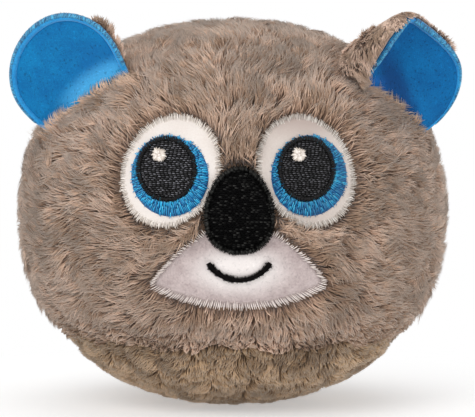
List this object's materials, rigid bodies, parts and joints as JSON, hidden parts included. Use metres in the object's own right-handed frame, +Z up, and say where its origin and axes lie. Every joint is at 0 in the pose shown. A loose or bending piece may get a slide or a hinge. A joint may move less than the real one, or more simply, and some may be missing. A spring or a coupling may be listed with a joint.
{
  "type": "plush koala",
  "caption": "Ball-shaped plush koala with a stitched face, a short-pile base it stands on, and sewn-on ears that bend at their seams and spring back.",
  "frame": {"origin": "middle of the flat face under the base panel that the toy stands on", "axes": "+Z up, the face looks along -Y, +X to the right of someone who looks at the face"},
  "size_m": [0.1057, 0.0978, 0.0951],
  "materials": {
    "coat": "taupe long-pile plush, soft and tufted",
    "base_cloth": "olive-brown short-pile plush",
    "filling": "white polyester fibre",
    "pellets": "plastic pellets in a thin cloth pouch",
    "white_thread": "white satin-stitched embroidery thread",
    "blue_thread": "bright blue satin-stitched thread",
    "black_thread": "black satin-stitched thread with a dull sheen",
    "muzzle_cloth": "pinkish white embroidered patch",
    "ear_lining": "blue short-nap velour",
    "ear_rim": "lighter blue velour roll round the ear"
  },
  "bodies": {
    "body": {"face_panel": "coat", "back_panel_left": "coat", "back_panel_right": "coat", "base_panel": "base_cloth", "fibre_filling": "filling", "pellet_pouch": "pellets", "eye_patch_left": "white_thread", "eye_patch_right": "white_thread", "eye_border_left": "white_thread", "eye_border_right": "white_thread", "iris_left": "blue_thread", "iris_right": "blue_thread", "pupil_left": "black_thread", "pupil_right": "black_thread", "eye_glint_left": "white_thread", "eye_glint_right": "white_thread", "muzzle_patch": "muzzle_cloth", "muzzle_border": "muzzle_cloth", "mouth": "black_thread", "nose": "black_thread"},
    "ear_left": {"ear_lining_left": "ear_lining", "ear_rim_left": "ear_rim", "ear_back_left": "coat"},
    "ear_right": {"ear_lining_right": "ear_lining", "ear_rim_right": "ear_rim", "ear_back_right": "coat"}
  },
  "joints": [
    {"name": "ear_left_bend", "type": "hinge", "parent": "body", "child": "ear_left", "pos_m": [-0.0353, -0.02082, 0.07116], "axis": [0.7101, -0.401, 0.5787], "range_deg": [-20, 30], "stiffness_Nm_per_rad": 0.02},
    {"name": "ear_right_bend", "type": "hinge", "parent": "body", "child": "ear_right", "pos_m": [0.03527, -0.02075, 0.07118], "axis": [0.7101, 0.401, -0.5787], "range_deg": [-20, 30], "stiffness_Nm_per_rad": 0.02}
  ]
}
